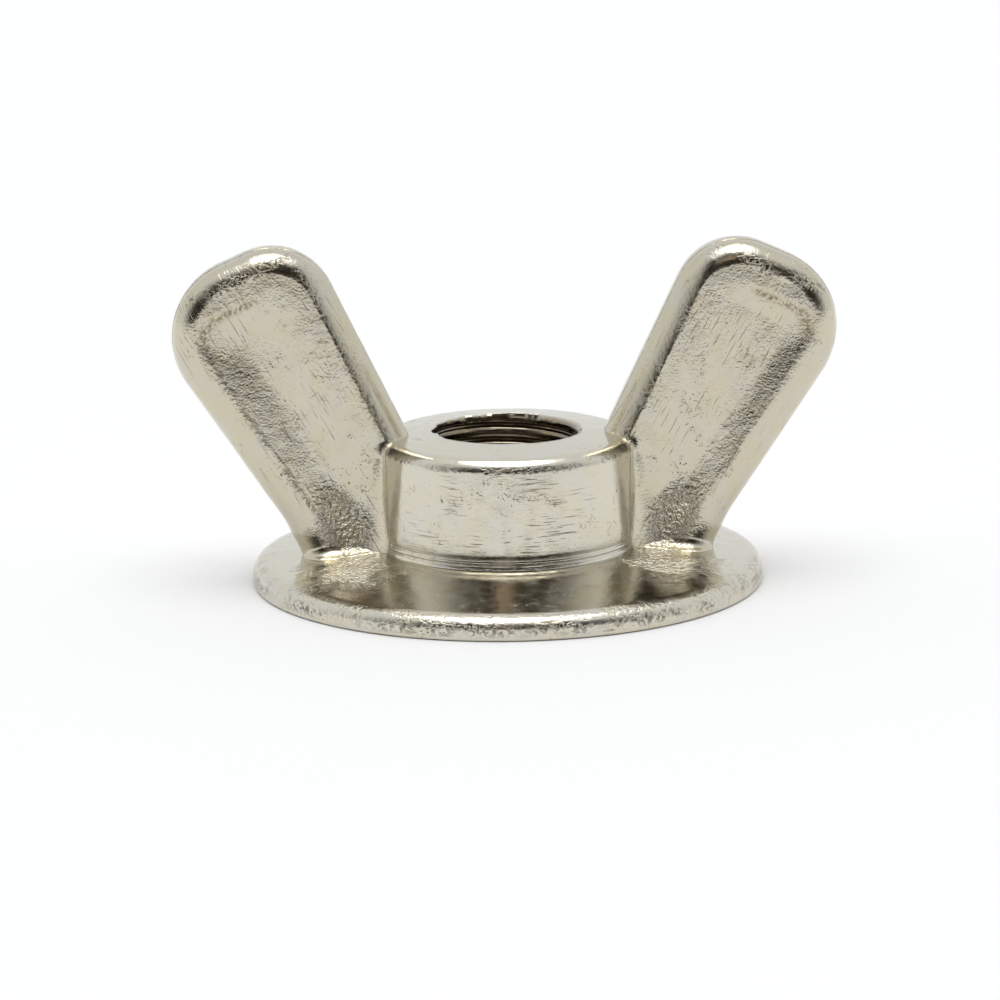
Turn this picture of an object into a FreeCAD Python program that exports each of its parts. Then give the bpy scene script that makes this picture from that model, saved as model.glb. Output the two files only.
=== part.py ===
import math
import os
from FreeCAD import Vector
import Part

# A cast, nickel-plated wing nut: a threaded hub on a wide base flange, with two wings.
# The thread axis is +Z, the bearing face is z = 0 and the wings stand along +X and -X.
# The casting is one rigid body. It is kept here as its four functional regions, cut apart
# along the lines where they meet, so that each region has its own solid.

# Driving dimensions, in millimetres and degrees
# The bore is wider than the standard M10x1 minor diameter, so the thread has wide flat crests.
THREAD_MAJOR = 10.0
THREAD_PITCH = 1.0
THREAD_HALF_ANGLE = 30.0
THREAD_ROOT_WIDTH = THREAD_PITCH / 8
BORE_DIAMETER = 9.3

HUB_HEIGHT = 9.65
HUB_TOP_SLOPE = 5.6
HUB_TOP_RADIUS = 8.45
HUB_BODY_FOOT_RADIUS = 8.62
HUB_COLLAR_RADIUS = 8.73
HUB_COLLAR_HEIGHT = 0.65
HUB_EDGE_RADIUS = 0.95

FLANGE_RADIUS = 16.85
FLANGE_RIM_HEIGHT = 1.5
FLANGE_TOP_SLOPE = 7.3
FLANGE_TOP_EDGE_RADIUS = 0.85
FLANGE_BOTTOM_EDGE_RADIUS = 0.15

WING_THICKNESS = 4.1
WING_EDGE_RADIUS = 1.6
WING_INNER_LEAN = 25.7
WING_INNER_START = (6.34, 9.65)
WING_OUTER_LEAN = 33.6
WING_OUTER_START = (14.82, 4.4)
WING_TIP_SLOPE = -23.9
WING_TIP_POINT = (16.8, 22.23)
WING_INNER_CORNER_RADIUS = 4.3
WING_OUTER_CORNER_RADIUS = 5.35
WING_KNEE_HEIGHT = 4.2
WING_KNEE_RADIUS = 8.0
WING_FOOT_LEAN = 26.0

PANEL_DEPTH = 0.3
PANEL_WALL_WIDTH = 1.1
PANEL_OUTER_MARGIN = 2.1
PANEL_TIP_MARGIN = 2.6
PANEL_INNER_MARGIN = 3.3
PANEL_FOOT_HEIGHT = 6.0
PANEL_TIP_CORNER_RADIUS = 2.4
PANEL_FOOT_CORNER_RADIUS = 1.4

GUSSET_FOOT_RADIUS = 3.4
GUSSET_TOP_RADIUS = 0.8

# Working lengths that only make cuts run clear of a surface
CLEAR = 1.0


def flange_top(radius):
    """Height of the flange's conical top face at a distance from the thread axis."""
    return FLANGE_RIM_HEIGHT + (FLANGE_RADIUS - radius) * math.tan(math.radians(FLANGE_TOP_SLOPE))


def hub_top(radius):
    """Height of the hub's top face, which rises gently toward the mouth of the hole."""
    return HUB_HEIGHT + (HUB_TOP_RADIUS - radius) * math.tan(math.radians(HUB_TOP_SLOPE))


def rounded_wire(corners, y=0.0):
    """Closed wire in a plane of constant y from corners (x, z, radius), each corner rounded."""
    edges = []
    ends = []
    count = len(corners)
    for i, (x, z, radius) in enumerate(corners):
        here = Vector(x, y, z)
        before = Vector(corners[i - 1][0], y, corners[i - 1][1])
        after = Vector(corners[(i + 1) % count][0], y, corners[(i + 1) % count][1])
        back = (before - here).normalize()
        ahead = (after - here).normalize()
        half_angle = back.getAngle(ahead) / 2
        reach = radius / math.tan(half_angle)
        start = here + back * reach
        end = here + ahead * reach
        if radius > 0:
            bisector = (back + ahead).normalize()
            middle = here + bisector * (radius / math.sin(half_angle) - radius)
            edges.append(Part.Arc(start, middle, end).toShape())
        ends.append((start, end))
    for i in range(count):
        edges.append(Part.LineSegment(ends[i][1], ends[(i + 1) % count][0]).toShape())
    return Part.Wire(Part.__sortEdges__(edges))


def revolved(corners):
    """Solid of revolution about the thread axis from corners (radius, z, rounding)."""
    face = Part.Face(rounded_wire(corners))
    return face.revolve(Vector(0, 0, 0), Vector(0, 0, 1), 360)


def hub_blank():
    """The hub without its thread, as a solid of revolution with no hole."""
    collar_top = flange_top(HUB_COLLAR_RADIUS) + HUB_COLLAR_HEIGHT
    step = HUB_COLLAR_RADIUS - HUB_BODY_FOOT_RADIUS
    return revolved([
        (0, 0, 0),
        (HUB_COLLAR_RADIUS, 0, 0),
        (HUB_COLLAR_RADIUS, collar_top, 0),
        (HUB_BODY_FOOT_RADIUS, collar_top + step, 0),
        (HUB_TOP_RADIUS, HUB_HEIGHT, HUB_EDGE_RADIUS),
        (0, hub_top(0), 0),
    ])


def flange_blank():
    """The whole base flange with no hole: flat bearing face, rounded rim and conical top."""
    return revolved([
        (0, 0, 0),
        (FLANGE_RADIUS, 0, FLANGE_BOTTOM_EDGE_RADIUS),
        (FLANGE_RADIUS, FLANGE_RIM_HEIGHT, FLANGE_TOP_EDGE_RADIUS),
        (0, flange_top(0), 0),
    ])


def thread_cutter():
    """Helical groove of the internal thread, from just inside the bore to the major diameter."""
    major = THREAD_MAJOR / 2
    inside = BORE_DIAMETER / 2 - THREAD_PITCH / 10
    half_root = THREAD_ROOT_WIDTH / 2
    half_inside = half_root + (major - inside) * math.tan(math.radians(THREAD_HALF_ANGLE))
    corners = [
        Vector(inside, 0, -half_inside),
        Vector(major, 0, -half_root),
        Vector(major, 0, half_root),
        Vector(inside, 0, half_inside),
    ]
    profile = Part.makePolygon(corners + corners[:1])
    helix = Part.makeHelix(THREAD_PITCH, hub_top(inside) + 2 * THREAD_PITCH, inside)
    groove = Part.Wire(helix).makePipeShell([profile], True, True)
    groove.translate(Vector(0, 0, -THREAD_PITCH))
    return groove


def threaded_hub():
    """Hub with its bore and the thread cut right through."""
    bore = Part.makeCylinder(BORE_DIAMETER / 2, hub_top(0) + 2 * CLEAR, Vector(0, 0, -CLEAR))
    return hub_blank().cut(bore).cut(thread_cutter())


def base_flange():
    """The flange outside the hub's foot."""
    return flange_blank().cut(hub_blank())


def line_crossing(point_a, lean_a, point_b, slope_b):
    """Crossing of a line leaning outward from the vertical with one at a slope to the horizontal."""
    lean = math.radians(lean_a)
    slope = math.radians(slope_b)
    dx = point_b[0] - point_a[0]
    dz = point_b[1] - point_a[1]
    along = (dz * math.cos(slope) - dx * math.sin(slope)) / math.cos(lean + slope)
    return point_a[0] + along * math.sin(lean), point_a[1] + along * math.cos(lean)


def outline_corners(inner_margin, outer_margin, tip_margin, foot):
    """Four corners of the right wing's outline, drawn in from its edges by the margins."""
    inner_shift = inner_margin / math.cos(math.radians(WING_INNER_LEAN))
    outer_shift = outer_margin / math.cos(math.radians(WING_OUTER_LEAN))
    tip_shift = tip_margin / math.cos(math.radians(WING_TIP_SLOPE))
    inner = (WING_INNER_START[0] + inner_shift, WING_INNER_START[1])
    outer = (WING_OUTER_START[0] - outer_shift, WING_OUTER_START[1])
    tip = (WING_TIP_POINT[0], WING_TIP_POINT[1] - tip_shift)
    inner_tip = line_crossing(inner, WING_INNER_LEAN, tip, WING_TIP_SLOPE)
    outer_tip = line_crossing(outer, WING_OUTER_LEAN, tip, WING_TIP_SLOPE)
    inner_foot = line_crossing(inner, WING_INNER_LEAN, (0, foot), 0)
    outer_foot = line_crossing(outer, WING_OUTER_LEAN, (0, foot), 0)
    return inner_foot, inner_tip, outer_tip, outer_foot


def wing_plate():
    """Flat plate of the right wing with its free edges rounded on both faces."""
    inner_foot, inner_tip, outer_tip, knee = outline_corners(0, 0, 0, WING_KNEE_HEIGHT)
    outer_foot = line_crossing(knee, WING_FOOT_LEAN, (0, 0), 0)
    inner_root = line_crossing(inner_foot, WING_INNER_LEAN, (0, 0), 0)
    corners = [
        (*inner_root, 0),
        (*inner_tip, WING_INNER_CORNER_RADIUS),
        (*outer_tip, WING_OUTER_CORNER_RADIUS),
        (*knee, WING_KNEE_RADIUS),
        (*outer_foot, 0),
    ]
    outline = Part.Face(rounded_wire(corners, -WING_THICKNESS / 2))
    plate = outline.extrude(Vector(0, WING_THICKNESS, 0))
    free_edges = []
    for edge in plate.Edges:
        lies_in_a_face = edge.BoundBox.YLength < WING_THICKNESS / 2
        stands_above_the_foot = edge.BoundBox.ZMax > CLEAR
        if lies_in_a_face and stands_above_the_foot:
            free_edges.append(edge)
    return plate.makeFillet(WING_EDGE_RADIUS, free_edges)


def panel_wire(inset, y):
    """Outline of the recessed panel, drawn in by a further inset, in a plane of constant y."""
    inner_foot, inner_tip, outer_tip, outer_foot = outline_corners(
        PANEL_INNER_MARGIN + inset, PANEL_OUTER_MARGIN + inset,
        PANEL_TIP_MARGIN + inset, PANEL_FOOT_HEIGHT + inset)
    tip_radius = PANEL_TIP_CORNER_RADIUS - inset
    foot_radius = PANEL_FOOT_CORNER_RADIUS - inset
    return rounded_wire([
        (*inner_foot, foot_radius),
        (*inner_tip, tip_radius),
        (*outer_tip, tip_radius),
        (*outer_foot, foot_radius),
    ], y)


def panel_cutter(side):
    """Shallow recess with sloping walls in one face of the wing; side is -1 front or +1 back."""
    face_y = side * WING_THICKNESS / 2
    outside = panel_wire(-PANEL_WALL_WIDTH, face_y + side * PANEL_DEPTH)
    floor = panel_wire(PANEL_WALL_WIDTH, face_y - side * PANEL_DEPTH)
    return Part.makeLoft([outside, floor], True, True)


def gusset_section(radius, z, side):
    """Concave corner fillet between a wing face and the hub, as a closed wire at height z."""
    hub_radius = HUB_BODY_FOOT_RADIUS + (HUB_TOP_RADIUS - HUB_BODY_FOOT_RADIUS) * z / HUB_HEIGHT
    face_y = WING_THICKNESS / 2
    centre_y = face_y + radius
    centre_x = math.sqrt((hub_radius + radius) ** 2 - centre_y ** 2)
    shrink = hub_radius / (hub_radius + radius)
    on_hub = Vector(centre_x * shrink, side * centre_y * shrink, z)
    on_wing = Vector(centre_x, side * face_y, z)
    centre = Vector(centre_x, side * centre_y, z)
    toward_corner = (on_hub - centre).normalize() + (on_wing - centre).normalize()
    middle = centre + toward_corner.normalize() * radius
    root = Vector(hub_radius - CLEAR, side * face_y / 2, z)
    return Part.Wire([
        Part.Arc(on_wing, middle, on_hub).toShape(),
        Part.LineSegment(on_hub, root).toShape(),
        Part.LineSegment(root, on_wing).toShape(),
    ])


def gusset(side):
    """Flared root of the wing on one side, widest at the flange and fading at the hub's top."""
    foot = gusset_section(GUSSET_FOOT_RADIUS, FLANGE_RIM_HEIGHT, side)
    top = gusset_section(GUSSET_TOP_RADIUS, HUB_HEIGHT - HUB_EDGE_RADIUS, side)
    return Part.makeLoft([foot, top], True, True)


def right_wing():
    """Right wing: plate, recessed panels and flared root, cut to fit the hub and the flange."""
    wing = wing_plate()
    for side in (-1, 1):
        wing = wing.cut(panel_cutter(side))
        wing = wing.fuse(gusset(side))
    return wing.cut(hub_blank()).cut(flange_blank()).removeSplitter()


def left_wing():
    """Left wing, the mirror image of the right one."""
    return right_wing().mirror(Vector(0, 0, 0), Vector(1, 0, 0))


NODES = {
    "threaded_hub": threaded_hub,
    "base_flange": base_flange,
    "right_wing": right_wing,
    "left_wing": left_wing,
}

os.makedirs("parts", exist_ok=True)
for name, make in NODES.items():
    shape = make()
    print(name, shape.ShapeType, "solids", len(shape.Solids), "valid", shape.isValid(),
          "volume", round(shape.Volume, 2))
    shape.exportStep(f"parts/{name}.step")
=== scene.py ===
import math
import bmesh
import bpy
import numpy as np
from mathutils import Matrix, Vector, noise


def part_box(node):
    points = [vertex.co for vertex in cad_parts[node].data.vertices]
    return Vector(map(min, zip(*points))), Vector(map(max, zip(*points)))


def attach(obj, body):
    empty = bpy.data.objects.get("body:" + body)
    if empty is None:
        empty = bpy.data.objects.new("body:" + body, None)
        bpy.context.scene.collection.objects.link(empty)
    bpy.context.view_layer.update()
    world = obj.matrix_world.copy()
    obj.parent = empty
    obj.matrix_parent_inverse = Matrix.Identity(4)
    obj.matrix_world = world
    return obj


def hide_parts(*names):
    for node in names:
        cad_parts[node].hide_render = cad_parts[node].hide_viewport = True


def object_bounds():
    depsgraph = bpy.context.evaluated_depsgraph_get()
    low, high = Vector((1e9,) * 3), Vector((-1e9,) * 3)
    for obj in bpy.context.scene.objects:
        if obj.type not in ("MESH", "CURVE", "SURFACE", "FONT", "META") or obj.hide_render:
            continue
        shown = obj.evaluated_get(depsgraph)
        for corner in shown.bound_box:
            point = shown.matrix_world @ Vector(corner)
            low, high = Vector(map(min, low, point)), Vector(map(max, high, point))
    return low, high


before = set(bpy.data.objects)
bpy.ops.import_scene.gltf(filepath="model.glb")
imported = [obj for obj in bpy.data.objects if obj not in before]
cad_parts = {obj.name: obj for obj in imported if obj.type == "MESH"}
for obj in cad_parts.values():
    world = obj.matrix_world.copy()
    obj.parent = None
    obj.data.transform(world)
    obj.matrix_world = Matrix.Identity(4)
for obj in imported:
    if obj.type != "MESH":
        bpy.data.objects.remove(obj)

CAD_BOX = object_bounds()

# Sizes are in millimetres, because the whole nut is only a few centimetres across.
# Vertices are turned into metres when a mesh is made.
MM = 0.001
HUB_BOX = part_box("threaded_hub")
FLANGE_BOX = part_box("base_flange")

THREAD_PITCH = 1.0
THREAD_MAJOR_RADIUS = 5.0
THREAD_ROOT_WIDTH = THREAD_PITCH / 8
THREAD_HALF_ANGLE = math.radians(30)
BORE_RADIUS = 4.65

HUB_HEIGHT = 9.65
HUB_TOP_SLOPE = math.radians(5.6)
HUB_COLLAR_RADIUS = HUB_BOX[1].x / MM
HUB_COLLAR_HEIGHT = 0.75
HUB_COLLAR_TAPER = 0.11
HUB_BODY_FOOT_RADIUS = HUB_COLLAR_RADIUS - HUB_COLLAR_TAPER
HUB_TOP_RADIUS = HUB_COLLAR_RADIUS - 0.28
HUB_EDGE_RADIUS = 0.95
HUB_SEGMENTS = 360

# Places and width of the grooves around the collar, as shares of its height
GROOVE_PLACES = (0.42, 0.88)
GROOVE_WIDTH = 0.1
GROOVE_DEPTH = 0.05

FLANGE_RADIUS = FLANGE_BOX[1].x / MM
FLANGE_RIM_HEIGHT = 1.5
FLANGE_TOP_SLOPE = math.radians(7.3)
FLANGE_RIM_RADIUS = 0.85
FLANGE_SHOULDER_RADIUS = 2.2
FLANGE_SHOULDER_ANGLE = math.radians(65)
FLANGE_BOTTOM_EDGE_RADIUS = 0.15
FLANGE_SEGMENTS = 600

WING_HALF_THICKNESS = 2.05
WING_INNER_LEAN = math.radians(25.7)
WING_INNER_START = (6.34, 9.65)
WING_OUTER_LEAN = math.radians(33.6)
WING_OUTER_START = (14.82, 4.4)
WING_TIP_SLOPE = math.radians(-23.9)
WING_TIP_POINT = (16.8, 22.23)
WING_INNER_CORNER_RADIUS = 4.3
WING_OUTER_CORNER_RADIUS = 5.35
WING_KNEE_HEIGHT = 4.2
WING_KNEE_RADIUS = 8.0
WING_FOOT_LEAN = math.radians(26)

# The wing's skin runs on into the hub and the flange, where its root can't be seen.
ROOT_INSET = 0.34
ROOT_DROP = 0.7
ROOT_HEIGHT = 0.45
ROOT_CORNER_RADIUS = 0.5
FOOT_CORNER_RADIUS = 0.3

# The wing's edge is rounded from face to face, with a slightly bulging crown in between.
EDGE_RADIUS = 1.45
OUTER_EDGE_EXTRA = 0.35
CROWN_BULGE = 0.05

# The flash line stands on the crown, at a share of the crown's half width.
FLASH_HEIGHT = 0.06
FLASH_PLACE = 0.8
FLASH_Y = -FLASH_PLACE * (WING_HALF_THICKNESS - EDGE_RADIUS)

PANEL_OUTER_MARGIN = 2.1
PANEL_TIP_MARGIN = 2.5
PANEL_CORNER_BLEND = 2.2
PANEL_INNER_FADE = (2.4, 6.5)
PANEL_FOOT_FADE = (2.6, 6.5)
PANEL_WALL_STRAIGHTNESS = 0.6

GUSSET_FOOT_RADIUS = 3.4
GUSSET_TOP_RADIUS = 0.8
GUSSET_FADE_HEIGHT = 0.2
FOOT_FILLET_RADIUS = 0.8

# Ends of the wing's spine, from the middle of its tip and the middle of its root
SPINE_TIP_OFFSET = (-1.6, -5.2)
SPINE_ROOT_OFFSET = (0.3, 3.2)
CORNER_STEPS = 40
WING_HALF_COLUMNS = 270

BRIGHT_NICKEL = (0.66, 0.63, 0.55)
# The same nickel, made darker and warmer for the wings: painted shade standing in for the darker reflection
# their flat faces see.
SHADED_WING_NICKEL = (0.60, 0.56, 0.465)
YELLOWING = (1.01, 0.985, 0.92)
WORN_COLOUR = (0.28, 0.24, 0.18, 1)
# Painted shade under the top wall of the wing's panel, and a darker line along the flash line
SHADE_AND_FLASH_LINE_COLOUR = (0.25, 0.21, 0.13, 1)
# Near-black painted reflection of the dark room on the crests and edges, where the etched bumps also stand
ETCH_AND_REFLECTION_COLOUR = (0.07, 0.06, 0.045, 1)
# Painted shade inside the threaded hole
HOLE_SHADE_COLOUR = (0.17, 0.13, 0.08, 1)

ROOM_COLOUR = (0.85, 0.87, 0.88, 1)
DARK_COLOUR = (0.03, 0.027, 0.023, 1)
WARM_PATCH_COLOUR = (0.52, 0.42, 0.34, 1)
SOFTBOX_COLOUR = (4.2, 4.2, 4.2, 1)


def smoothstep(low, high, value):
    """Smooth ramp from 0 at low to 1 at high."""
    t = np.clip((value - low) / (high - low), 0, 1)
    return t * t * (3 - 2 * t)


def smooth_min(a, b, blend):
    """Smaller of two distances, rounded off where they are nearly equal."""
    h = np.clip(0.5 + 0.5 * (b - a) / blend, 0, 1)
    return b + (a - b) * h - blend * h * (1 - h)


def hump(value, centre, width):
    """Smooth hump of height 1 around a centre."""
    return np.exp(-((value - centre) / width) ** 2)


def noise_at(points, size, seed):
    """Smooth noise from -1 to 1 at each point, with lumps of about the given size."""
    shift = Vector((seed * 17.3, seed * 5.1, seed * 9.7))
    return np.array([noise.noise(Vector(p) / size + shift) for p in points])


def from_axis(points):
    """Distance of each point from the thread axis."""
    return np.hypot(points[:, 0], points[:, 1])


def flange_top(radius):
    """Height of the flange's conical top at a distance from the thread axis."""
    return FLANGE_RIM_HEIGHT + (FLANGE_RADIUS - radius) * math.tan(FLANGE_TOP_SLOPE)


def hub_top(radius):
    """Height of the hub's top face, which rises gently toward the mouth of the hole."""
    return HUB_HEIGHT + (HUB_TOP_RADIUS - radius) * math.tan(HUB_TOP_SLOPE)


# Meshes


def grid_faces(rows, columns, close_rows=False):
    """Quads of a grid whose columns go all the way round."""
    faces = []
    for row in range(rows if close_rows else rows - 1):
        below = (row + 1) % rows
        for column in range(columns):
            right = (column + 1) % columns
            faces.append((
                row * columns + column, below * columns + column,
                below * columns + right, row * columns + right,
            ))
    return faces


def mesh_object(name, points, faces):
    """Smooth-shaded object from points in millimetres, with doubled points merged."""
    mesh = bpy.data.meshes.new(name)
    mesh.from_pydata((np.asarray(points) * MM).tolist(), [], faces)
    obj = bpy.data.objects.new(name, mesh)
    bpy.context.scene.collection.objects.link(obj)
    work = bmesh.new()
    work.from_mesh(mesh)
    bmesh.ops.remove_doubles(work, verts=work.verts, dist=1e-7)
    bmesh.ops.dissolve_degenerate(work, edges=work.edges, dist=1e-8)
    bmesh.ops.recalc_face_normals(work, faces=work.faces)
    work.to_mesh(mesh)
    work.free()
    mesh.shade_smooth()
    return obj


def weather(obj, layers, seed):
    """Push vertices along their normals by layers of noise, given as (size, depth) in millimetres.

    The bearing face stays flat, and nothing is pushed out of the CAD model's box.
    """
    mesh = obj.data
    points = np.array([v.co for v in mesh.vertices]) / MM
    normals = np.array([n.vector for n in mesh.vertex_normals])
    push = np.zeros(len(points))
    for layer, (size, depth) in enumerate(layers):
        push += depth * noise_at(points, size, seed + layer)
    push *= smoothstep(0, 0.4, points[:, 2])
    moved = points + normals * push[:, None]
    low, high = (np.array(corner) / MM for corner in CAD_BOX)
    moved = np.clip(moved, low, high)
    mesh.vertices.foreach_set("co", (moved * MM).ravel())
    mesh.update()


def paint_masks(obj, **masks):
    """Store each mask, a function of the vertex positions in millimetres, as a vertex attribute."""
    mesh = obj.data
    points = np.array([v.co for v in mesh.vertices]) / MM
    for name, mask in masks.items():
        attribute = mesh.attributes.new(name, "FLOAT", "POINT")
        attribute.data.foreach_set("value", mask(points).astype(np.float32))


# Wings


def rounded_outline(corners):
    """Dense closed polyline of a polygon whose corners (x, z, radius) are rounded."""
    line = []
    count = len(corners)
    for i, (x, z, radius) in enumerate(corners):
        here = np.array([x, z])
        back = np.array(corners[i - 1][:2]) - here
        ahead = np.array(corners[(i + 1) % count][:2]) - here
        back /= np.linalg.norm(back)
        ahead /= np.linalg.norm(ahead)
        half_angle = math.acos(np.clip(back @ ahead, -1, 1)) / 2
        bisector = (back + ahead) / np.linalg.norm(back + ahead)
        centre = here + bisector * radius / math.sin(half_angle)
        start = here + back * radius / math.tan(half_angle)
        end = here + ahead * radius / math.tan(half_angle)
        first = math.atan2(*(start - centre)[::-1])
        turn = math.atan2(*(end - centre)[::-1]) - first
        turn = (turn + math.pi) % (2 * math.pi) - math.pi
        for angle in first + turn * np.linspace(0, 1, CORNER_STEPS):
            line.append(centre + radius * np.array([math.cos(angle), math.sin(angle)]))
    return np.array(line)


def resample(line, count):
    """The given number of evenly spaced points along an open polyline, without its last point."""
    steps = np.linalg.norm(np.diff(line, axis=0), axis=1)
    along = np.concatenate([[0], np.cumsum(steps)])
    wanted = np.linspace(0, along[-1], count, endpoint=False)
    return np.stack([np.interp(wanted, along, line[:, k]) for k in (0, 1)], axis=1)


def lean_line(point, lean, z):
    """Point at height z on a line that leans outward from the vertical."""
    return point[0] + (z - point[1]) * math.tan(lean), z


def tip_crossing(point, lean):
    """Where a leaning edge line meets the wing's tip line."""
    dx = WING_TIP_POINT[0] - point[0]
    dz = WING_TIP_POINT[1] - point[1]
    gap = dz * math.cos(WING_TIP_SLOPE) - dx * math.sin(WING_TIP_SLOPE)
    along = gap / math.cos(lean + WING_TIP_SLOPE)
    return point[0] + along * math.sin(lean), point[1] + along * math.cos(lean)


def wing_columns(half_count):
    """Outline points of the right wing, their inward normals and their partners on the wing's spine."""
    root_x = WING_INNER_START[0] - ROOT_INSET
    knee = lean_line(WING_OUTER_START, WING_OUTER_LEAN, WING_KNEE_HEIGHT)
    foot = lean_line(knee, WING_FOOT_LEAN, ROOT_HEIGHT)
    inner_corners = [
        (*tip_crossing(WING_INNER_START, WING_INNER_LEAN), WING_INNER_CORNER_RADIUS),
        (root_x, WING_INNER_START[1] - ROOT_DROP, ROOT_CORNER_RADIUS),
        (root_x, ROOT_HEIGHT, ROOT_CORNER_RADIUS),
    ]
    outer_corners = [
        (*foot, FOOT_CORNER_RADIUS),
        (*knee, WING_KNEE_RADIUS),
        (*tip_crossing(WING_OUTER_START, WING_OUTER_LEAN), WING_OUTER_CORNER_RADIUS),
    ]
    line = rounded_outline(inner_corners + outer_corners)
    tip = (line[0] + line[-1]) / 2
    root = np.array([(root_x + foot[0]) / 2, ROOT_HEIGHT])
    root_index = len(inner_corners) * CORNER_STEPS
    inner_half = resample(np.vstack([tip, line[:root_index], root]), half_count)
    outer_half = resample(np.vstack([root, line[root_index:], tip]), half_count)
    outline = np.vstack([inner_half, outer_half])
    tangent = np.roll(outline, -1, axis=0) - np.roll(outline, 1, axis=0)
    tangent /= np.linalg.norm(tangent, axis=1)[:, None]
    inward = np.stack([-tangent[:, 1], tangent[:, 0]], axis=1)
    spine_tip = tip + np.array(SPINE_TIP_OFFSET)
    spine_root = root + np.array(SPINE_ROOT_OFFSET)
    axis = spine_root - spine_tip
    reach = np.clip((outline - spine_tip) @ axis / (axis @ axis), 0, 1)
    shared = (reach + np.roll(reach[::-1], 1)) / 2
    spine = spine_tip + shared[:, None] * axis
    return outline, inward, spine


def edge_distances(x, z):
    """Distances in from the wing's inner, outer and tip edge lines."""
    inner = (x - WING_INNER_START[0]) * math.cos(WING_INNER_LEAN)
    inner = inner - (z - WING_INNER_START[1]) * math.sin(WING_INNER_LEAN)
    outer = (WING_OUTER_START[0] - x) * math.cos(WING_OUTER_LEAN)
    outer = outer + (z - WING_OUTER_START[1]) * math.sin(WING_OUTER_LEAN)
    tip = (x - WING_TIP_POINT[0]) * math.sin(WING_TIP_SLOPE)
    tip = tip - (z - WING_TIP_POINT[1]) * math.cos(WING_TIP_SLOPE)
    return inner, outer, tip


def gusset_flare(x, z):
    """Extra thickness where the wing's root flares out to meet the hub in a concave fillet."""
    low = flange_top(HUB_COLLAR_RADIUS)
    high = HUB_HEIGHT - HUB_EDGE_RADIUS
    t = np.clip((z - low) / (high - low), 0, 1)
    fillet = GUSSET_FOOT_RADIUS + (GUSSET_TOP_RADIUS - GUSSET_FOOT_RADIUS) * t
    hub = HUB_BODY_FOOT_RADIUS + (HUB_TOP_RADIUS - HUB_BODY_FOOT_RADIUS) * t
    centre = np.sqrt((hub + fillet) ** 2 - (WING_HALF_THICKNESS + fillet) ** 2)
    tangent = centre * hub / (hub + fillet)
    inside = np.clip(centre - np.maximum(x, tangent), 0, None)
    flare = fillet - np.sqrt(np.clip(fillet ** 2 - inside ** 2, 0, None))
    return flare * (1 - smoothstep(high, HUB_HEIGHT + GUSSET_FADE_HEIGHT, z))


def foot_flare(x, z):
    """Extra thickness of the small fillet where the wing stands on the flange."""
    above = np.clip(z - flange_top(np.hypot(x, WING_HALF_THICKNESS)), 0, FOOT_FILLET_RADIUS)
    return FOOT_FILLET_RADIUS - np.sqrt(above * (2 * FOOT_FILLET_RADIUS - above))


def panel_wall(x, z):
    """Distance inside the recessed panel's edge, which follows the wing's outer edge and tip."""
    _, outer, tip = edge_distances(x, z)
    return smooth_min(outer - PANEL_OUTER_MARGIN, tip - PANEL_TIP_MARGIN, PANEL_CORNER_BLEND)


def panel_depth(x, z, wall_width, depth):
    """Depth of the recessed panel, deepest along the outer edge and fading to the inner edge and root."""
    inner, _, _ = edge_distances(x, z)
    fade = smoothstep(*PANEL_INNER_FADE, inner) * smoothstep(*PANEL_FOOT_FADE, z)
    slope = np.clip(panel_wall(x, z) / wall_width, 0, 1)
    straight = PANEL_WALL_STRAIGHTNESS
    return depth * (straight * slope + (1 - straight) * smoothstep(0, 1, slope)) * fade


def wing_ridge(points, wall_width):
    """Etched crests where the flat faces turn into the rounded edges and into the panel's wall; the colour
    also darkens them as painted dark reflection.
    """
    x, z = np.abs(points[:, 0]), points[:, 2]
    inner, _, tip = edge_distances(x, z)
    wall = panel_wall(x, z)
    off_face = WING_HALF_THICKNESS - np.abs(points[:, 1])
    inner_edge = 0.5 * hump(inner, 1.3, 0.32)
    wall_top = 0.6 * hump(wall, 0.1, 0.2) * smoothstep(3, 5, inner) * smoothstep(3, 6, tip)
    wall_foot = 0.35 * hump(wall, wall_width, 0.2) * smoothstep(4, 6, inner) * smoothstep(6, 12, tip)
    tip_edge = hump(tip, 1.15, 0.3)
    crest = np.clip(inner_edge + wall_top + wall_foot + tip_edge, 0, 1)
    return crest * smoothstep(1.3, 0.3, off_face)


def wing_grain(points):
    """Rough casting skin low on the wing, in a leaning patch beside the flared root."""
    middle_x, middle_z = 10.9, 4.4
    half_width, half_height = 1.7, 2.6
    lean = 0.35
    up = points[:, 2] - middle_z
    across = np.abs(points[:, 0]) - middle_x - lean * up
    return 1 - smoothstep(0.1, 1.3, np.hypot(across / half_width, up / half_height))


def wing_tarnish(points):
    """Painted shade under the top wall of the panel, and a darker line along the casting's flash line."""
    x, z = np.abs(points[:, 0]), points[:, 2]
    inner, _, tip = edge_distances(x, z)
    wall = hump(panel_wall(x, z), 0.42, 0.24)
    wall *= smoothstep(4.2, 5.2, inner) * (1 - smoothstep(4.2, 6.2, tip))
    flash = hump(points[:, 1], FLASH_Y, 0.09)
    return np.maximum(wall, 0.6 * flash)


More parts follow.
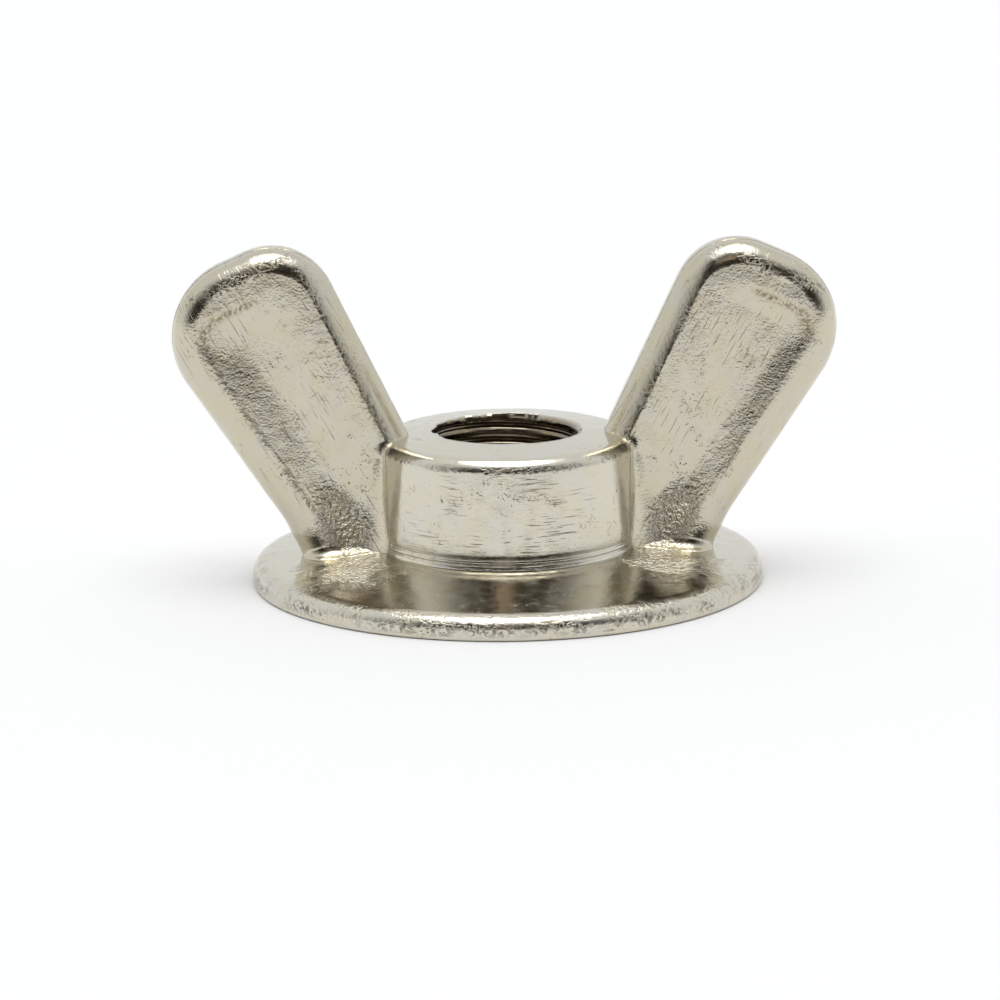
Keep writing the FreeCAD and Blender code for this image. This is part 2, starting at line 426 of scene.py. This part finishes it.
def wing(name, side, wall_width, depth, seed):
    """One wing as a closed skin of rings, from the spine of the front face round to the back face."""
    outline, inward, spine = wing_columns(WING_HALF_COLUMNS)
    inner, outer, tip = edge_distances(outline[:, 0], outline[:, 1])
    rounding = EDGE_RADIUS + OUTER_EDGE_EXTRA * (1 - smoothstep(0.2, 2.5, outer))
    bevel = 1 + 0.5 * (1 - smoothstep(0.1, 1.5, inner)) * smoothstep(1, 4, tip)
    crown = WING_HALF_THICKNESS - rounding
    to_spine = spine - outline
    per_depth = 1 / np.einsum("ij,ij->i", to_spine, inward)
    face_ring = rounding * per_depth
    uneven = noise_at(np.c_[outline, np.zeros(len(outline))], 1.3, seed)
    flash = FLASH_HEIGHT * (0.55 + 0.45 * uneven) * (crown / crown.max())

    face_steps = np.linspace(1, 0, 34) ** 1.25
    round_steps = np.linspace(0, math.pi / 2, 13)[1:]
    # The steps across the crown are close together where the flash line stands.
    crown_steps = [0.95, 0.9, 0.86, 0.83, 0.8, 0.77, 0.74, 0.7, 0.6, 0.4, 0.15, -0.15, -0.5, -0.8]
    rows = []

    def add_row(share, height):
        """One ring: its share of the way to the spine and its signed height off the mid-plane."""
        plane = outline + to_spine * share[:, None]
        x, z = plane[:, 0], plane[:, 1]
        lift = np.maximum(gusset_flare(x, z), foot_flare(x, z))
        lift = lift - panel_depth(x, z, wall_width, depth)
        rows.append(np.c_[side * x, height + np.sign(height) * lift, z])

    def add_face_row(t, face):
        """A ring on the front (-1) or back (1) face, t of the way from the edge to the spine."""
        add_row(face_ring + (1 - face_ring) * t, np.full(len(outline), face * WING_HALF_THICKNESS))

    def add_edge_row(angle, face):
        """A ring on the rounding beside a face, at an angle that grows toward the crown."""
        inset = CROWN_BULGE + (rounding - CROWN_BULGE) * (1 - math.sin(angle) ** bevel)
        add_row(inset * per_depth, face * (crown + rounding * max(math.cos(angle), 0) ** bevel))

    for t in face_steps:
        add_face_row(t, -1)
    for angle in round_steps:
        add_edge_row(angle, -1)
    for v in crown_steps:
        inset = CROWN_BULGE * v * v - flash * hump(v, FLASH_PLACE, 0.05)
        add_row(np.maximum(inset, 0.001) * per_depth, -crown * v)
    for angle in round_steps[::-1]:
        add_edge_row(angle, 1)
    for t in face_steps[::-1]:
        add_face_row(t, 1)

    obj = mesh_object(name, np.vstack(rows), grid_faces(len(rows), len(outline)))
    weather(obj, [(4.0, 0.012), (1.3, 0.007), (0.5, 0.003)], seed)
    paint_masks(
        obj,
        ridge=lambda points: wing_ridge(points, wall_width),
        grain=wing_grain,
        tarnish=wing_tarnish,
    )
    return obj


# Hub and flange


def turn_angles(segments):
    """Evenly spaced angles all the way round."""
    return np.linspace(0, 2 * math.pi, segments, endpoint=False)


def ring(angle, radius, z):
    """Points around the thread axis, at a radius and height that are constant or vary with the angle."""
    return np.c_[radius * np.cos(angle), radius * np.sin(angle), np.broadcast_to(z, angle.shape)]


def lathe_rows(profile, segments):
    """Rings of points from a profile of (radius, z) pairs."""
    return [ring(turn_angles(segments), radius, z) for radius, z in profile]


def arc_profile(centre, radius, start, end, steps):
    """Points (radius, z) along an arc between two angles in radians."""
    return [
        (centre[0] + radius * math.cos(angle), centre[1] + radius * math.sin(angle))
        for angle in np.linspace(start, end, steps)
    ]


def thread_radius(angle, z):
    """Radius of the threaded wall at an angle and height."""
    turns = z / THREAD_PITCH - angle / (2 * math.pi)
    off_root = np.abs(turns - np.round(turns)) * THREAD_PITCH
    radius = THREAD_MAJOR_RADIUS - (off_root - THREAD_ROOT_WIDTH / 2) / math.tan(THREAD_HALF_ANGLE)
    return np.clip(radius, BORE_RADIUS, THREAD_MAJOR_RADIUS)


def mouth_chips(angle):
    """How far the thread's run-out has broken the mouth of the hole open, mostly at the back and left."""
    spots = ring(angle, 1, 0)
    ragged = np.clip(0.7 + noise_at(spots, 0.22, 5) + 0.5 * noise_at(spots, 0.07, 6), 0, 1.3)
    return 0.26 * ragged * smoothstep(-0.5, 0.5, np.sin(angle) - 0.8 * np.cos(angle))


def thread_rows(segments):
    """Rings that follow the helix, held between the mouth at the top and the bearing face."""
    angle = turn_angles(segments)
    chips = mouth_chips(angle)
    mouth = hub_top(BORE_RADIUS)
    half_root = THREAD_ROOT_WIDTH / 2
    half_groove = half_root + (THREAD_MAJOR_RADIUS - BORE_RADIUS) * math.tan(THREAD_HALF_ANGLE)
    # Heights within one turn, from the middle of a crest down past the groove
    marks = [
        THREAD_PITCH / 2, half_groove, half_groove / 2, half_root,
        -half_root, -half_groove / 2, -half_groove,
    ]
    rows = []
    for turn in range(math.ceil(mouth / THREAD_PITCH) + 1, -2, -1):
        for mark in marks:
            z = np.clip((turn + angle / (2 * math.pi)) * THREAD_PITCH + mark, 0, mouth)
            broken = chips * smoothstep(mouth - 0.6, mouth - 0.1, z)
            radius = np.maximum(thread_radius(angle, z), BORE_RADIUS + broken)
            rows.append(ring(angle, radius, np.minimum(z, hub_top(radius))))
    return rows


def hub_profile():
    """Half section of the hub's outside, from the bearing face to its top face, as (radius, z) points."""
    foot = flange_top(HUB_COLLAR_RADIUS)
    body_foot = foot + HUB_COLLAR_HEIGHT
    edge = HUB_EDGE_RADIUS
    edge_centre = (
        HUB_TOP_RADIUS - edge,
        HUB_HEIGHT + edge * math.tan(HUB_TOP_SLOPE) - edge / math.cos(HUB_TOP_SLOPE),
    )
    profile = [(HUB_COLLAR_RADIUS, 0), (HUB_COLLAR_RADIUS, foot)]
    for t in np.linspace(0, 1, 24):
        groove = GROOVE_DEPTH * sum(hump(t, place, GROOVE_WIDTH) for place in GROOVE_PLACES)
        profile.append((HUB_COLLAR_RADIUS - HUB_COLLAR_TAPER * t - groove, foot + HUB_COLLAR_HEIGHT * t))
    for t in np.linspace(0, 1, 26)[1:]:
        radius = HUB_BODY_FOOT_RADIUS + (HUB_TOP_RADIUS - HUB_BODY_FOOT_RADIUS) * t
        profile.append((radius, body_foot + (edge_centre[1] - body_foot) * t))
    return profile + arc_profile(edge_centre, edge, 0, math.pi / 2 - HUB_TOP_SLOPE, 14)[1:]


def hub_ridge(points):
    """Worn top edge of the hub, which the colour also darkens as painted dark reflection."""
    outside = smoothstep(HUB_TOP_RADIUS - 1.0, HUB_TOP_RADIUS - 0.5, from_axis(points))
    return 0.5 * outside * hump(points[:, 2], HUB_HEIGHT - 0.6, 0.16)


def bore_dirt(points):
    """Inside of the threaded hole, where the colour is darkened as painted shade."""
    in_bore = from_axis(points) < THREAD_MAJOR_RADIUS + 0.05
    return in_bore * smoothstep(0, 0.25, hub_top(BORE_RADIUS) - points[:, 2])


def hub():
    """Hub with its grooved foot, rounded top edge, gently rising top face and threaded hole."""
    profile = hub_profile()
    bore = thread_rows(HUB_SEGMENTS)
    rows = lathe_rows(profile, HUB_SEGMENTS)
    edge = profile[-1][0]
    mouth = from_axis(bore[0])
    for t in np.linspace(0, 1, 20)[1:-1]:
        radius = edge + (mouth - edge) * t
        rows.append(ring(turn_angles(HUB_SEGMENTS), radius, hub_top(radius)))
    rows += bore
    faces = grid_faces(len(rows), HUB_SEGMENTS, close_rows=True)
    obj = mesh_object("hub_skin", np.vstack(rows), faces)
    weather(obj, [(3.0, 0.012), (0.8, 0.006)], 11)
    paint_masks(obj, ridge=hub_ridge, dirt=bore_dirt)
    return obj


def flange_profile():
    """Half section of the flange: bearing face, rim, shoulder and cone, as (radius, z) points."""
    start = math.pi / 2 - FLANGE_TOP_SLOPE
    turn = FLANGE_SHOULDER_ANGLE
    shoulder = arc_profile((0, 0), FLANGE_SHOULDER_RADIUS, start, turn, 14)
    rim = arc_profile((0, 0), FLANGE_RIM_RADIUS, turn, 0, 16)
    shift = (rim[0][0] - shoulder[-1][0], rim[0][1] - shoulder[-1][1])
    edge = [(r + shift[0], z + shift[1]) for r, z in shoulder] + rim[1:]
    across = FLANGE_RADIUS - edge[-1][0]
    rise = flange_top(edge[0][0] + across) - edge[0][1]
    edge = [(r + across, z + rise) for r, z in edge]
    # The flange reaches a little under the hub's skin, so that no gap shows between them.
    foot = HUB_COLLAR_RADIUS - 0.02
    cone = [(r, flange_top(r)) for r in np.linspace(foot, edge[0][0], 30)]
    bottom = FLANGE_BOTTOM_EDGE_RADIUS
    under = arc_profile((FLANGE_RADIUS - bottom, bottom), bottom, 0, -math.pi / 2, 6)
    face = [(r, 0) for r in np.linspace(FLANGE_RADIUS - bottom, foot, 12)[1:]]
    return cone + edge[1:] + under + face


def rim_ridge(points):
    """Worn rim of the flange, which the colour also darkens as painted dark reflection."""
    worn = smoothstep(FLANGE_RADIUS - 1.4, FLANGE_RADIUS - 0.7, from_axis(points))
    side = hump(points[:, 2], 0.75, 0.34)
    shoulder = 0.45 * hump(points[:, 2], 1.4, 0.16)
    return worn * np.maximum(side, shoulder)


def flange_grain(points):
    """Rough casting skin on the flange around the wings' feet."""
    middle_x, middle_y = 10.2, 6.0
    half_width, half_depth = 3.4, 4.4
    across = (np.abs(points[:, 0]) - middle_x) / half_width
    along = (np.abs(points[:, 1]) - middle_y) / half_depth
    ragged = 0.45 * noise_at(points, 1.8, 31) + 0.25 * noise_at(points, 0.6, 32)
    return 1.1 * (1 - smoothstep(0.1, 1.1, np.hypot(across, along) + ragged))


def flange():
    """Base flange, widest at its worn rim."""
    rows = lathe_rows(flange_profile(), FLANGE_SEGMENTS)
    faces = grid_faces(len(rows), FLANGE_SEGMENTS, close_rows=True)
    obj = mesh_object("flange_skin", np.vstack(rows), faces)
    weather(obj, [(3.0, 0.012), (0.8, 0.006)], 23)
    paint_masks(obj, ridge=rim_ridge, grain=flange_grain)
    return obj


# Materials


class Nodes:
    """Small helper that adds nodes to a material's or a world's tree."""

    def __init__(self, tree):
        self.tree = tree

    def link(self, source, target):
        """Connect a value or another node's output to an input socket."""
        if isinstance(source, bpy.types.NodeSocket):
            self.tree.links.new(source, target)
        else:
            target.default_value = source

    def math(self, operation, *values):
        """Result of an arithmetic operation on values or other nodes' outputs."""
        node = self.tree.nodes.new("ShaderNodeMath")
        node.operation = operation
        for socket, value in zip(node.inputs, values):
            self.link(value, socket)
        return node.outputs["Value"]

    def product(self, result, *factors):
        """Product of two or more values."""
        for factor in factors:
            result = self.math("MULTIPLY", result, factor)
        return result

    def ramp(self, value, low, high, start=0.0, end=1.0):
        """Smooth ramp of a value between two limits."""
        node = self.tree.nodes.new("ShaderNodeMapRange")
        node.interpolation_type = "SMOOTHSTEP"
        self.link(value, node.inputs["Value"])
        node.inputs["From Min"].default_value = low
        node.inputs["From Max"].default_value = high
        node.inputs["To Min"].default_value = start
        node.inputs["To Max"].default_value = end
        return node.outputs["Result"]

    def mix(self, factor, first, second):
        """Blend of two colours, each a constant or another node's output."""
        node = self.tree.nodes.new("ShaderNodeMix")
        node.data_type = "RGBA"
        self.link(factor, node.inputs["Factor"])
        self.link(first, node.inputs["A"])
        self.link(second, node.inputs["B"])
        return node.outputs["Result"]

    def toward(self, direction, aim):
        """Cosine of the angle between a direction and a fixed aim."""
        node = self.tree.nodes.new("ShaderNodeVectorMath")
        node.operation = "DOT_PRODUCT"
        self.link(direction, node.inputs[0])
        node.inputs[1].default_value = aim
        return node.outputs["Value"]


class Paint(Nodes):
    """Nodes of one new material."""

    def __init__(self, name):
        self.material = bpy.data.materials.new(name)
        self.material.use_nodes = True
        super().__init__(self.material.node_tree)
        self.shader = self.tree.nodes["Principled BSDF"]
        self.position = self.tree.nodes.new("ShaderNodeTexCoord").outputs["Object"]

    def noise(self, size, detail=2.0, vector=None):
        """Noise whose lumps are about the given size in millimetres."""
        node = self.tree.nodes.new("ShaderNodeTexNoise")
        self.link(vector or self.position, node.inputs["Vector"])
        node.inputs["Scale"].default_value = 1 / (size * MM)
        node.inputs["Detail"].default_value = detail
        return node.outputs["Fac"]

    def stretched(self, turn, stretch):
        """Position turned about Y and squeezed, so that noise read from it runs in long streaks."""
        node = self.tree.nodes.new("ShaderNodeMapping")
        node.vector_type = "TEXTURE"
        self.link(self.position, node.inputs["Vector"])
        node.inputs["Rotation"].default_value = (0, turn, 0)
        node.inputs["Scale"].default_value = stretch
        return node.outputs["Vector"]

    def mask(self, name):
        """Vertex mask stored on the mesh by paint_masks."""
        node = self.tree.nodes.new("ShaderNodeAttribute")
        node.attribute_name = name
        return node.outputs["Fac"]


def nickel_marks(paint, streaks):
    """Marks in the plating: streaks, creases, flecks, casting grain, and etched crests that the colour also
    darkens as painted dark reflection.
    """
    patches = paint.noise(2.2, 3)
    crack = paint.math("ABSOLUTE", paint.math("SUBTRACT", paint.noise(0.45, 2), 0.5))
    return {
        "streak": paint.product(
            paint.ramp(paint.noise(2.2, 3, streaks), 0.58, 0.74),
            paint.ramp(paint.noise(3.0, 1), 0.42, 0.6),
        ),
        "crease": paint.product(
            paint.ramp(crack, 0.0, 0.03, 1, 0),
            paint.ramp(patches, 0.5, 0.62),
            paint.ramp(paint.noise(0.7, 2), 0.5, 0.62),
        ),
        "fleck": paint.product(
            paint.ramp(paint.noise(0.22, 1), 0.68, 0.78),
            paint.ramp(patches, 0.48, 0.62),
        ),
        "grain": paint.product(
            paint.ramp(paint.noise(0.26, 3), 0.3, 0.7),
            paint.mask("grain"),
        ),
        # Etched crests: a real bump, and in the colour a painted dark reflection
        "etch_and_reflection": paint.product(
            paint.ramp(paint.noise(0.26, 4), 0.46, 0.6),
            paint.mask("ridge"),
            paint.ramp(paint.noise(1.7, 2), 0.4, 0.58, 0.2, 1.0),
        ),
    }


def nickel_relief(paint, marks, grit, streaks):
    """Bump from fine noise, grit, hairlines and the marks, each with its height in millimetres."""
    layers = [
        (paint.noise(0.14, 2), grit),
        (paint.noise(0.9, 2, streaks), 0.004),
        (marks["streak"], -0.010),
        (marks["crease"], -0.008),
        (marks["fleck"], -0.014),
        (marks["grain"], 0.11),
        (marks["etch_and_reflection"], -0.04),
        (paint.product(paint.noise(0.5, 3), paint.mask("ridge")), 0.05),
    ]
    height = paint.product(paint.noise(0.35, 5), 0.009)
    for layer, rise in layers:
        height = paint.math("MULTIPLY_ADD", layer, rise, height)
    bump = paint.tree.nodes.new("ShaderNodeBump")
    bump.inputs["Distance"].default_value = MM
    paint.link(height, bump.inputs["Height"])
    paint.link(bump.outputs["Normal"], paint.shader.inputs["Normal"])


def nickel_colour(paint, marks, worn, tint):
    """Plating that is yellower in patches, under worn marks, painted shade in the panel and the threaded
    hole, and painted dark reflection on the crests.
    """
    yellowed = tuple(level * fade for level, fade in zip(tint, YELLOWING))
    colour = paint.mix(paint.ramp(paint.noise(1.8, 4), 0.38, 0.62), (*tint, 1), (*yellowed, 1))
    films = [
        (worn, WORN_COLOUR),
        # Painted shade under the panel's top wall, and a darker line along the flash line
        (paint.product(paint.mask("tarnish"), paint.ramp(paint.noise(0.22, 3), 0.34, 0.6)), SHADE_AND_FLASH_LINE_COLOUR),
        # Painted dark reflection on the etched crests
        (paint.product(marks["etch_and_reflection"], 0.75), ETCH_AND_REFLECTION_COLOUR),
        # Painted shade inside the threaded hole
        (paint.product(paint.mask("dirt"), 0.8), HOLE_SHADE_COLOUR),
    ]
    for amount, film in films:
        colour = paint.mix(amount, colour, film)
    paint.link(colour, paint.shader.inputs["Base Color"])


def nickel_roughness(paint, worn):
    """Roughness that varies softly and is higher on worn marks and ridges."""
    rough = paint.ramp(paint.noise(1.1, 4), 0.3, 0.7, 0.09, 0.2)
    rough = paint.math("MULTIPLY_ADD", worn, 0.2, rough)
    rough = paint.math("MULTIPLY_ADD", paint.mask("ridge"), 0.1, rough)
    paint.link(rough, paint.shader.inputs["Roughness"])


def nickel(name, tint, grit, turn, stretch):
    """Nickel plating on a casting, from its tint, the height of its grit and the run of its streaks."""
    paint = Paint(name)
    paint.shader.inputs["Metallic"].default_value = 1
    streaks = paint.stretched(turn, stretch)
    marks = nickel_marks(paint, streaks)
    worn = paint.math("MAXIMUM", marks["fleck"], paint.product(marks["streak"], 0.5))
    worn = paint.math("MAXIMUM", worn, paint.product(marks["crease"], 0.35))
    nickel_relief(paint, marks, grit, streaks)
    nickel_colour(paint, marks, worn, tint)
    nickel_roughness(paint, worn)
    return paint.material


def floor_material():
    """Pale matte paper."""
    paint = Paint("pale_paper")
    tone = paint.mix(paint.noise(0.6, 5), (0.80, 0.80, 0.80, 1), (0.82, 0.82, 0.82, 1))
    paint.link(tone, paint.shader.inputs["Base Color"])
    paint.shader.inputs["Roughness"].default_value = 0.9
    return paint.material


# Stage


def floor():
    """Plain pale floor just under the bearing face."""
    side = 1200
    front = -135
    z = -0.01
    points = [(-side, front, z), (side, front, z), (side, side, z), (-side, side, z)]
    obj = mesh_object("floor", points, [(0, 1, 2, 3)])
    obj.data.materials.append(floor_material())


def room_colour(nodes):
    """Colour that reflections see in each direction of the room."""
    direction = nodes.tree.nodes.new("ShaderNodeTexCoord").outputs["Generated"]
    axes = nodes.tree.nodes.new("ShaderNodeSeparateXYZ")
    nodes.link(direction, axes.inputs["Vector"])
    low = nodes.ramp(axes.outputs["Z"], 0.80, 0.66)
    front = nodes.ramp(axes.outputs["Y"], 0, -0.85)
    warm_patch = nodes.ramp(nodes.toward(direction, (-0.08, -0.872, 0.48)), 0.982, 0.992)
    softbox = nodes.ramp(nodes.toward(direction, (0, -0.1, 0.995)), 0.90, 0.94)
    colour = nodes.mix(nodes.product(low, front), ROOM_COLOUR, DARK_COLOUR)
    colour = nodes.mix(warm_patch, colour, WARM_PATCH_COLOUR)
    return nodes.mix(softbox, colour, SOFTBOX_COLOUR)


def studio_world():
    """Soft white room with an overhead softbox, dark where the camera stands, white to the camera."""
    world = bpy.data.worlds.new("studio")
    bpy.context.scene.world = world
    world.use_nodes = True
    nodes = Nodes(world.node_tree)
    nodes.tree.nodes.clear()
    room = nodes.tree.nodes.new("ShaderNodeBackground")
    nodes.link(room_colour(nodes), room.inputs["Color"])
    backdrop = nodes.tree.nodes.new("ShaderNodeBackground")
    backdrop.inputs["Color"].default_value = (1, 1, 1, 1)
    path = nodes.tree.nodes.new("ShaderNodeLightPath")
    choose = nodes.tree.nodes.new("ShaderNodeMixShader")
    nodes.link(path.outputs["Is Camera Ray"], choose.inputs["Fac"])
    nodes.link(room.outputs["Background"], choose.inputs[1])
    nodes.link(backdrop.outputs["Background"], choose.inputs[2])
    out = nodes.tree.nodes.new("ShaderNodeOutputWorld")
    nodes.link(choose.outputs["Shader"], out.inputs["Surface"])


def camera():
    """Camera at the height, side and distance that the flange and hub outlines show."""
    azimuth = math.radians(-2.5)
    elevation = math.radians(14.22)
    roll = math.radians(0.73)
    distance = 0.315
    aim_right = -0.00047
    aim_up = 0.00486
    rise = Vector((0, 0, 0.0002))
    data = bpy.data.cameras.new("camera")
    data.sensor_width = 36
    data.lens = 170.9
    obj = bpy.data.objects.new("camera", data)
    bpy.context.scene.collection.objects.link(obj)
    back = Vector((
        math.sin(azimuth) * math.cos(elevation),
        -math.cos(azimuth) * math.cos(elevation),
        math.sin(elevation),
    ))
    right = Vector((math.cos(azimuth), math.sin(azimuth), 0))
    up = back.cross(right)
    obj.location = back * distance + rise
    target = right * aim_right + up * aim_up + rise
    facing = (target - obj.location).to_track_quat("-Z", "Y")
    turn = Matrix.Rotation(-roll, 4, "Z")
    obj.rotation_euler = (facing.to_matrix().to_4x4() @ turn).to_euler()
    bpy.context.scene.camera = obj


camera()
studio_world()
floor()
middle_lean = (WING_INNER_LEAN + WING_OUTER_LEAN) / 2
skins = {
    "threaded_hub": (
        hub(),
        nickel("nickel_hub", BRIGHT_NICKEL, grit=0.003, turn=0, stretch=(1, 1, 1 / 22)),
    ),
    "base_flange": (
        flange(),
        nickel("nickel_flange", BRIGHT_NICKEL, grit=0.003, turn=0, stretch=(1, 1, 1 / 8)),
    ),
    # The wings use the darker nickel, which is painted shade.
    "right_wing": (
        wing("right_wing_skin", side=1, wall_width=1.6, depth=0.165, seed=3),
        nickel("nickel_right", SHADED_WING_NICKEL, grit=0.011, turn=middle_lean, stretch=(1 / 16, 1, 1)),
    ),
    "left_wing": (
        wing("left_wing_skin", side=-1, wall_width=2.5, depth=0.22, seed=7),
        nickel("nickel_left", SHADED_WING_NICKEL, grit=0.011, turn=-middle_lean, stretch=(1 / 16, 1, 1)),
    ),
}
for node, (skin, plate) in skins.items():
    skin.data.materials.append(plate)
    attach(skin, "root")
    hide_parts(node)
bpy.context.scene.view_settings.view_transform = "Standard"
